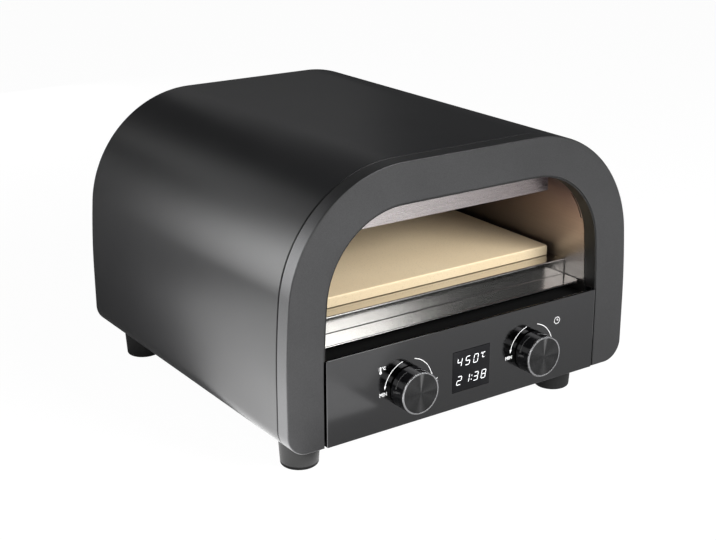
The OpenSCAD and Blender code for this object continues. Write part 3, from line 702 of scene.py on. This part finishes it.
icons = {
    "thermometer": (-112.4, 93.8), "stem": (2.9, 0.85), "bulb": (-2.6, 1.5),  # height and radius
    "ticks": 3, "tickFrom": (-1.9, 0.2), "tickStep": 1.3, "tick": (0.9, 0.4, 0.1, 2),
    "degree": (2.5, 2.9), "degreeLine": (0.55, 0.35), "unit": (4.7, 1.3), "unitSize": 4.4,
    "clock": (120.8, 94.7), "clockLine": (3.75, 0.65),
    "hands": [(0, 1.0, 0.6, 2.4), (0.85, -0.05, 2.1, 0.6)],  # centre, width and height
}


def makeIcons():
    # thermometer and unit above the left dial's low mark, and a clock above the right dial
    p = icons
    (tx, tz), (kx, kz) = p["thermometer"], p["clock"]
    (stemZ, stemR), (bulbZ, bulbR) = p["stem"], p["bulb"]
    shapes = [arc(tx, tz + stemZ, stemR, 0, 180, 8) + arc(tx, tz + bulbZ, bulbR, 125, 415, 16)]
    tickX, tickZ = p["tickFrom"]
    for k in range(p["ticks"]):
        shapes.append(roundRect(tx + tickX, tz + tickZ + k * p["tickStep"], *p["tick"]))
    shapes.append(arcBand(tx + p["degree"][0], tz + p["degree"][1], *p["degreeLine"], *wholeTurn, 16))
    shapes.append(arcBand(kx, kz, *p["clockLine"], *wholeTurn, 40))
    shapes += [roundRect(kx + x, kz + z, w, h, 0.2, 2) for x, z, w, h in p["hands"]]
    printed("panelIcons", shapes, [("C", tx + p["unit"][0], tz + p["unit"][1], p["unitSize"])])


makePanel()
makeWindow()
makeDigits()
makeMarks()
makeIcons()
print("control panel made")

dial = {
    "r": 22.5, "pin": 0.02, "front": -20.2, "back": -1.5, "face": -22, "hollow": -15, "floor": 0.4,
    # (inset, y) pairs, with y from the skirt's front, its back and the cap's face
    "frontEdge": [(0.5, 0.1), (0.1, 0.35), (0, 0.8), (0, 1.2)],
    "backEdge": [(0, -1.3), (0, -0.9), (0.3, -0.25), (0.9, 0), (2.2, 0)],
    "capBack": [(0.25, 0.05), (0.1, -0.1)],
    "capEdge": [(0.05, 0.85), (0.3, 0.35), (0.95, 0), (1.7, 0), (2.05, 0.35), (2.3, 0.35)],
}


def turned(profile, cx, cz, steps=128):
    # a closed shape turned about the dial's axis from (radius, y) pairs
    rings = []
    for i in range(steps):
        a = 2 * math.pi * i / steps
        rings.append([(cx + r * math.cos(a), y, cz + r * math.sin(a)) for r, y in profile])
    n, points, faces = len(profile), [p for ring in rings for p in ring], []
    for i in range(steps):
        j = (i + 1) % steps
        for k in range(n - 1):
            faces.append((i * n + k, i * n + k + 1, j * n + k + 1, j * n + k))
    return points, faces


def makeDial(name):
    d = dial
    cx, cz = knobCentre[name].x * 1000, knobCentre[name].z * 1000

    def edge(pairs, y):
        return [(d["r"] - inset, d[y] + depth) for inset, depth in d[pairs]]

    skirt = edge("frontEdge", "front") + edge("backEdge", "back")
    skirt = [(d["pin"], skirt[0][1])] + skirt + [(skirt[-1][0], d["hollow"]), (d["pin"], d["hollow"])]
    cap = edge("capBack", "front") + edge("capEdge", "face")
    cap = [(d["pin"], cap[0][1])] + cap + [(d["pin"], d["face"] + d["floor"])]
    body = name + "_dial"
    piece(name + "Skirt", [turned(skirt, cx, cz)], finishOf["knob_black"], body, name + "_knob")
    piece(name + "Face", [turned(cap, cx, cz)], spunOf[name], body, name + "_cap", sharp=50)


for name in knobCentre:
    makeDial(name)
print("dials made")

sill = {
    "halfW": 176.2, "sheet": 1.2, "ledgeY": 23.2, "ledgeZ": 122, "riserY": 51.2, "deckZ": 139.7,
    "lipEnd": 64.2, "hem": 2.4, "corner": 8, "bend": 1.1, "keep": 0.4, "bendAngles": (0.4, 0.8, 1.2),
    "innerFold": [(-1.0, 0), (-0.7, 0), (-0.2, 0.2), (0, 0.7), (0, 1.0)],  # y and z from the riser's foot
    "cornerAngles": (90, 80, 68, 55, 40, 22, 0), "stations": [-120, -60, 0, 60, 120],
}


def makeSill():
    p = sill
    t, b, hem, keep, corner = p["sheet"], p["bend"], p["hem"], p["keep"], p["corner"]
    riser, ledge, deck, end = p["riserY"], p["ledgeZ"], p["deckZ"], p["lipEnd"]

    def outerFold(y, z):
        turn = [(y + b - b * math.cos(a), z - b + b * math.sin(a)) for a in p["bendAngles"]]
        return [(y, z - b)] + turn + [(y + b, z), (y + b + keep, z)]

    def section(x):
        # folded sheet: hem, ledge, riser and lip, with rounded folds
        into = max(0, abs(x) - (p["halfW"] - corner))
        front = p["ledgeY"] + corner - math.sqrt(max(corner ** 2 - into ** 2, 0))
        top = [(front, ledge - hem)] + outerFold(front, ledge)
        top += [(riser + y, ledge + z) for y, z in p["innerFold"]]
        top += [(riser, deck - b - keep)] + outerFold(riser, deck) + [(end, deck)]
        under = [(end, deck - t), (riser + t, deck - t), (riser + t, ledge - t)]
        under += [(front + t, ledge - t), (front + t, ledge - hem)]
        return [(x, y, z) for y, z in top + under]

    edge = [p["halfW"] - corner * (1 - math.sin(math.radians(a))) for a in p["cornerAngles"]]
    stations = sorted([-e for e in edge] + p["stations"] + edge)
    parts = [skin([section(x) for x in stations])]
    piece("sillSheet", parts, finishOf["sill_steel"], "casing", "front_sill", sharp=30)


stone = {
    "w": 342, "d": 330, "t": 11, "frontY": 71, "low": 140, "topEdge": 2.0, "lowEdge": 0.8,
    "corner": 5, "cornerEase": 0.5, "cornerSteps": 8,
}


def makeStone():
    p = stone
    cy, top = p["frontY"] + p["d"] / 2, p["low"] + p["t"]
    levels = [(p["low"] + i * p["lowEdge"], d * p["lowEdge"]) for i, d in rollEdge(1.0, 3)]
    levels += [(top - i * p["topEdge"], d * p["topEdge"]) for i, d in reversed(rollEdge(1.0, 5))]
    rings = []
    for z, inset in levels:
        r = p["corner"] - inset * p["cornerEase"]
        loop = roundRect(0, cy, p["w"] - 2 * inset, p["d"] - 2 * inset, r, p["cornerSteps"])
        rings.append([(x, y, z) for x, y in loop])
    piece("bakingStone", [skin(rings)], finishOf["stone_beige"], "stone", "pizza_stone", sharp=60)


makeSill()
makeStone()
print("deck and stone made")


# Geometry Nodes make what repeats, and the heating tubes; their sizes are in metres.
class Grower(Sheet):
    # a Geometry Nodes tree with named sizes
    def __init__(self, name, sizes):
        super().__init__(bpy.data.node_groups.new(name, "GeometryNodeTree"))
        face = self.tree.interface
        face.new_socket("Geometry", in_out="INPUT", socket_type="NodeSocketGeometry")
        for key, value in sizes.items():
            face.new_socket(key, in_out="INPUT", socket_type="NodeSocketFloat").default_value = value
        face.new_socket("Geometry", in_out="OUTPUT", socket_type="NodeSocketGeometry")
        self.given = self.tree.nodes.new("NodeGroupInput")
        self.out = self.tree.nodes.new("NodeGroupOutput")

    def size(self, key):
        return Wire(self, self.given.outputs[key])

    def vector(self, x=0.0, y=0.0, z=0.0):
        return self.node("ShaderNodeCombineXYZ", {}, [x, y, z])

    def position(self):
        where = self.node("GeometryNodeInputPosition", {}, {})
        return [self.node("ShaderNodeSeparateXYZ", {}, [where], axis) for axis in "XYZ"]

    def moved(self, mesh, shift):
        return self.node("GeometryNodeTransform", {}, {"Geometry": mesh, "Translation": shift})

    def finish(self, geometry, finish):
        plain = self.node("GeometryNodeRealizeInstances", {}, {"Geometry": geometry})
        painted = self.node("GeometryNodeSetMaterial", {}, {"Geometry": plain, "Material": finish.material})
        self.plug(self.out.inputs[0], painted)
        return self.tree
    def onSpots(self, shape, finish, turn=None):
        # the shape on each of the cloud's points, as one painted mesh
        values = {"Points": Wire(self, self.given.outputs["Geometry"]), "Instance": shape, "Rotation": turn}
        return self.finish(self.node("GeometryNodeInstanceOnPoints", {}, values), finish)


def grown(name, tree, sizes, spots, finish, body, node=None, sharp=35):
    # runs a tree on a cloud of points, given in metres, and keeps the result as a plain mesh
    cloud = bpy.data.meshes.new(name + "Spots")
    cloud.from_pydata(spots, [], [])
    source = bpy.data.objects.new(name + "Source", cloud)
    bpy.context.scene.collection.objects.link(source)
    modifier = source.modifiers.new("grow", "NODES")
    modifier.node_group = tree
    for item in tree.interface.items_tree:
        if item.in_out == "INPUT" and item.name in sizes:
            modifier[item.identifier] = float(sizes[item.name])
    mesh = bpy.data.meshes.new_from_object(source.evaluated_get(bpy.context.evaluated_depsgraph_get()))
    source.modifiers.clear()
    bpy.data.objects.remove(source)
    mesh.name = name
    bm = bmesh.new()
    bm.from_mesh(mesh)
    bmesh.ops.recalc_face_normals(bm, faces=bm.faces)
    bm.to_mesh(mesh)
    bm.free()
    print(name, "grown:", len(mesh.polygons), "faces")
    dress(bpy.data.objects.new(name, mesh), finish, body, node, sharp)


screw = {"Head Radius": 0.0029, "Head Height": 0.0018, "Slot Width": 0.0008, "Slot Depth": 0.0010}


def screwTree(finish, pitch):
    # domed heads with a cross recess, each turned to its own angle; they face +Z before the pitch
    g = Grower("screwHeads", screw)
    radius, height, wide, deep = (g.size(key) for key in screw)
    blank = g.node("GeometryNodeMeshCylinder", {"fill_type": "TRIANGLE_FAN"}, {
        "Vertices": 28, "Side Segments": 3, "Fill Segments": 4, "Radius": radius, "Depth": height}, "Mesh")
    x, y, z = g.position()
    out = (x * x + y * y) ** 0.5 / radius
    rise = (z + height * 0.5) * (1 - 0.5 * out ** 3)
    dome = g.node("GeometryNodeSetPosition", {}, {"Geometry": blank, "Position": g.vector(x, y, rise)})
    bars = []
    for size in ((radius * 1.15, wide), (wide, radius * 1.15)):
        bar = g.node("GeometryNodeMeshCube", {}, {"Size": g.vector(*size, deep * 2)}, "Mesh")
        bars.append(g.moved(bar, g.vector(0.0, 0.0, height)))
    cut = {"operation": "DIFFERENCE", "solver": "EXACT"}
    head = g.node("GeometryNodeMeshBoolean", cut, {"Mesh 1": dome, "Mesh 2": bars}, "Mesh")
    drawn = {2: 0.0, 3: 1.57, "Seed": 4}
    turn = g.node("FunctionNodeRandomValue", {"data_type": "FLOAT"}, drawn, 1)
    own = g.node("FunctionNodeAxisAngleToRotation", {}, {"Axis": (0, 0, 1), "Angle": turn})
    tip = g.node("FunctionNodeAxisAngleToRotation", {}, {"Axis": (1, 0, 0), "Angle": pitch})
    both = {"Rotation": tip, "Rotate By": own}
    return g.onSpots(head, finish, g.node("FunctionNodeRotateRotation", {"rotation_space": "LOCAL"}, both))


rear = {
    "plateY": 427, "lowScrews": 60, "midScrews": 150, "midInset": 9, "baseScrews": 150,
    "upperLouvres": [(66 * column, 208 + 11 * row) for column in (-1, 0, 1) for row in range(6)],
    "lowLouvres": [(20, 52 + 11 * row) for row in range(4)], "hoodLift": 1.4,
    "inletX": 120, "inletZ": 66, "inletScrews": 20, "inletFlange": 2.5,
    "fanX": -75, "fanZ": 68, "guardLift": 0.8,
}


def rearScrewSpots():
    c = casing
    edge = c["flangeW"] / 2
    corner = (c["cornerR"] - edge) * math.sqrt(0.5)
    pairs = [
        (c["halfW"] - edge, rear["lowScrews"]), (c["halfW"] - rear["midInset"], rear["midScrews"]),
        (c["crownHalf"] + corner, cornerZ + corner),
    ]
    spots = [(side * x, z) for x, z in pairs for side in (-1, 1)] + [(0, c["top"] - edge)]
    return spots + [(side * rear["baseScrews"], c["footH"] + edge) for side in (-1, 1)]


def makeRearScrews():
    # the two inlet screws stand on its flange
    spots = [at(x, rear["plateY"], z) for x, z in rearScrewSpots()]
    flange = rear["plateY"] + rear["inletFlange"]
    spots += [at(rear["inletX"] + side * rear["inletScrews"], flange, rear["inletZ"]) for side in (-1, 1)]
    finish = finishOf["screw_steel"]
    tree = screwTree(finish, -math.pi / 2)
    grown("rearScrewHeads", tree, screw, spots, finish, "casing", "rear_screws")


hood = {"Width": 0.046, "Height": 0.0062, "Rise": 0.0030, "Sheet": 0.0006}


def makeLouvres():
    # pressed hoods over the slots of the rear panel: fixed above, open below
    g = Grower("louvreHoods", hood)
    width, height, rise, sheet = (g.size(key) for key in hood)
    grid = {"Size X": width, "Size Y": height, "Vertices X": 25, "Vertices Y": 7}
    flat = g.node("GeometryNodeMeshGrid", {}, grid, "Mesh")
    x, y = g.position()[:2]
    across = (x / (width * 0.5)) ** 2
    down = 0.5 - y / height
    lift = rise * (1 - across ** 3) * (1 - (1 - down) ** 2.4)
    shape = g.node("GeometryNodeSetPosition", {}, {"Geometry": flat, "Position": g.vector(x, lift, y)})
    thicker = {"Mesh": shape, "Offset": g.vector(0.0, sheet, 0.0), "Offset Scale": 1.0, "Individual": False}
    wall = g.node("GeometryNodeExtrudeMesh", {"mode": "FACES"}, thicker, "Mesh")
    finish = finishOf["shell_black"]
    places = [at(x, rear["plateY"], z + rear["hoodLift"]) for x, z in rear["upperLouvres"] + rear["lowLouvres"]]
    tree = g.onSpots(wall, finish)
    grown("louvreHoods", tree, hood, places, finish, "casing", sharp=60)


guard = {
    "Wire": 0.0016, "First Ring": 0.010, "Ring Step": 0.0065,
    "Spoke From": 0.006, "Spoke To": 0.034, "Eye Radius": 0.0027, "Eye Gap": 0.0013,
}


def makeGuard():
    # round wires on four spokes, each ending in an eye for its screw
    g = Grower("fanGuard", guard)
    wire, first, step, near, far, eye, gap = (g.size(key) for key in guard)

    def circle(steps, radius):
        return g.node("GeometryNodeCurvePrimitiveCircle", {}, {"Resolution": steps, "Radius": radius})

    def tilt(axis, angle):
        return g.node("FunctionNodeAxisAngleToRotation", {}, {"Axis": axis, "Angle": angle})

    rings = [circle(72, first + step * k) for k in range(3)]
    ends = {"Start": g.vector(near), "End": g.vector(far - eye)}
    spoke = g.node("GeometryNodeCurvePrimitiveLine", {}, ends)
    loop = g.moved(circle(20, eye), g.vector(far + gap))
    arm = g.node("GeometryNodeJoinGeometry", {}, {"Geometry": [spoke, loop]})
    facing = tilt((0, 0, 1), g.node("GeometryNodeInputIndex", {}, {}) * (math.pi / 2) + math.pi / 4)
    hubs = g.node("GeometryNodePoints", {}, {"Count": 4})
    placed = {"Points": hubs, "Instance": arm, "Rotation": facing}
    arms = g.node("GeometryNodeInstanceOnPoints", {}, placed)
    joined = g.node("GeometryNodeJoinGeometry", {}, {"Geometry": rings + [arms]})
    lines = g.node("GeometryNodeRealizeInstances", {}, {"Geometry": joined})
    swept = {"Curve": lines, "Profile Curve": circle(12, wire * 0.5), "Fill Caps": True}
    wires = g.node("GeometryNodeCurveToMesh", {}, swept)
    finish = finishOf["screw_steel"]
    tree = g.onSpots(wires, finish, tilt((1, 0, 0), math.pi / 2))
    spots = [at(rear["fanX"], rear["plateY"] + rear["guardLift"], rear["fanZ"])]
    grown("fanGuardWires", tree, guard, spots, finish, "casing", "fan_guard", sharp=60)


element = {
    "Tube": 0.0065, "Pitch": 0.044, "Front": faceY + 0.092, "Rear": faceY + 0.388, "Lead End": faceY + 0.422,
}
elementZ = {"upper": 0.241, "lower": 0.1285}


def elementTree(finish):
    # one tube run back and forth in hairpins, with both leads to the rear;
    # points 0 and 11 of its path are the leads' ends, and the others the hairpins' corners
    g = Grower("heatingTube", element)
    tube, pitch, front, back, end = (g.size(key) for key in element)
    points = g.node("GeometryNodePoints", {}, {"Count": 12})
    index = g.node("GeometryNodeInputIndex", {}, {})
    run = index.maths("FLOOR", index / 2)
    phase = index.maths("MODULO", index + 3, 4)
    atFront = index.maths("LESS_THAN", phase, 1.5)
    lead = index.maths("COMPARE", index, 5.5, 5.25)
    depth = front * atFront + (back * lead + end * (1 - lead)) * (1 - atFront)
    place = g.vector((run - 2.5) * pitch, depth)
    spread = g.node("GeometryNodeSetPosition", {}, {"Geometry": points, "Position": place})
    path = g.node("GeometryNodePointsToCurves", {}, {"Points": spread})
    hairpins = {"Curve": path, "Count": 14, "Radius": pitch * 0.4999}
    bent = g.node("GeometryNodeFilletCurve", {"mode": "POLY"}, hairpins)
    rim = g.node("GeometryNodeCurvePrimitiveCircle", {}, {"Resolution": 16, "Radius": tube * 0.5})
    swept = {"Curve": bent, "Profile Curve": rim, "Fill Caps": True}
    return g.onSpots(g.node("GeometryNodeCurveToMesh", {}, swept), finish)


def makeElements():
    finish = finishOf["heater_steel"]
    tree = elementTree(finish)
    for level, z in elementZ.items():
        grown(level + "Element", tree, element, [(0, 0, z)], finish, "casing", level + "_heater", sharp=60)


makeRearScrews()
makeLouvres()
makeGuard()
makeElements()
print("repeats made")

studio = {
    "white": (1.0, 1.0, 1.0),
    "floor": (0.48, 0.48, 0.48),
    "floorReach": 12,
    "floorGlow": 1.125,
    "floorShare": 0.86,
    "cardBeam": 180,
    "cardLift": 0.004,
    "glossyShare": 0.02,
    "worldColour": (0.95, 0.97, 1.0),
    "worldLevel": 0.05,
    "lamps": [
        # name, place, aim, width, height, watts, beam in degrees, whether it shows in gloss
        ("keyBox", (0.45, -1.5, 0.72), (0, -0.1, 0.18), 0.7, 0.5, 28, 180, False),
        ("sheenBox", (0.51, -1.43, 0.72), (0, -0.15, 0.13), 0.60, 0.50, 1.15, 180, True),
        ("rightBox", (0.74, -1.84, 1.35), (0, 0, 0.15), 0.9, 0.7, 12, 180, True),
        ("highBox", (0.85, -1.5, 1.20), (0, 0, 0.15), 0.7, 0.7, 7, 180, False),
        ("fillBox", (-1.2, -1.5, 0.55), (0, 0, 0.15), 0.6, 0.6, 6, 180, True),
        ("wallBox", (-1.07, 0.66, 0.45), (-0.10, -0.80, 0.2), 0.60, 0.9, 1.9, 70, True),
        ("edgeBox", (-1.25, -0.85, 0.85), (-0.1, -0.2, 0.2), 0.5, 0.5, 2.5, 180, True),
        ("cornerBox", (-0.75, 1.3, 1.1), (0, 0, 0.2), 0.6, 0.6, 0.8, 180, True),
        ("rearBox", (0.7, 1.6, 0.95), (0, 0, 0.3), 0.8, 0.5, 0.25, 180, True),
        ("backBox", (-0.05, 1.7, 0.18), (0, 0.2, 0.15), 0.8, 0.28, 4, 180, True),
    ],
    "cards": [
        # name, x, y, width, depth, turn, watts: glowing cards that lie on the floor
        ("sideCard", -0.50, 0.01, 0.45, 0.67, 26.6, 2.2),
        ("nearCard", -0.36, -0.12, 0.20, 0.50, 26.6, 0.3),
        ("frontCard", 0.06, -0.62, 0.50, 0.30, -40, 0.15),
        ("cornerCard", -0.20, -0.50, 0.30, 0.40, 0, 0.22),
        ("backCard", 0.12, 0.62, 0.60, 0.40, 0, 1.3),
        ("rightCard", 0.56, 0.06, 0.36, 0.70, -12, 1.6),
    ],
}


def backdropShare(sheet):
    # how much a ray sees the plain background instead of the lit surface
    seen, through, gloss = (
        sheet.node("ShaderNodeLightPath", {}, {}, "Is %s Ray" % kind)
        for kind in ("Camera", "Transmission", "Glossy")
    )
    return seen + through + gloss * studio["glossyShare"]


def makeFloor():
    f = Finish("paleFloor", Roughness=0.9)
    f.set("Base Color", studio["floor"])
    f.set("Specular IOR Level", 0.1)
    lit = Wire(f, f.surface.outputs["BSDF"])
    plain = f.node("ShaderNodeEmission", {}, {"Color": studio["white"], "Strength": studio["floorGlow"]})
    share = backdropShare(f) * studio["floorShare"]
    f.plug(f.out.inputs["Surface"], f.node("ShaderNodeMixShader", {}, [share, lit, plain]))
    mesh = bpy.data.meshes.new("floor")
    r = studio["floorReach"]
    mesh.from_pydata([(-r, -r, 0), (r, -r, 0), (r, r, 0), (-r, r, 0)], [], [(0, 1, 2, 3)])
    floor = bpy.data.objects.new("floor", mesh)
    bpy.context.scene.collection.objects.link(floor)
    paint(floor, f)


def makeWorld():
    world = bpy.data.worlds.new("studio")
    bpy.context.scene.world = world
    world.use_nodes = True
    world.node_tree.nodes.clear()
    sky = Sheet(world.node_tree)
    sky = Sheet(world.node_tree)
    dim = {"Color": studio["worldColour"], "Strength": studio["worldLevel"]}
    lit = sky.node("ShaderNodeBackground", {}, dim)
    plain = sky.node("ShaderNodeBackground", {}, {"Color": studio["white"], "Strength": 1.0})
    out = sky.tree.nodes.new("ShaderNodeOutputWorld")
    sky.plug(out.inputs["Surface"], sky.node("ShaderNodeMixShader", {}, [backdropShare(sky), lit, plain]))


def addLamp(name, width, height, watts, beam, shows, place, turn):
    data = bpy.data.lights.new(name, "AREA")
    data.shape, data.size, data.size_y, data.energy = "RECTANGLE", width, height, watts
    data.spread = math.radians(beam)
    lamp = bpy.data.objects.new(name, data)
    bpy.context.scene.collection.objects.link(lamp)
    lamp.visible_glossy, lamp.visible_camera = shows, False
    lamp.location = place
    lamp.rotation_mode = "QUATERNION"
    lamp.rotation_quaternion = turn


def makeLamps():
    for name, place, aim, width, height, watts, beam, shows in studio["lamps"]:
        turn = (Vector(aim) - Vector(place)).to_track_quat("-Z", "Y")
        addLamp(name, width, height, watts, beam, shows, place, turn)
    for name, x, y, width, depth, turn, watts in studio["cards"]:
        facing = Quaternion((0, 0, 1), math.radians(turn)) @ Quaternion((1, 0, 0), math.pi)
        addLamp(name, width, depth, watts, studio["cardBeam"], True, (x, y, studio["cardLift"]), facing)


makeFloor()
makeWorld()
makeLamps()
bpy.context.scene.view_settings.view_transform = "Standard"
print("studio made")
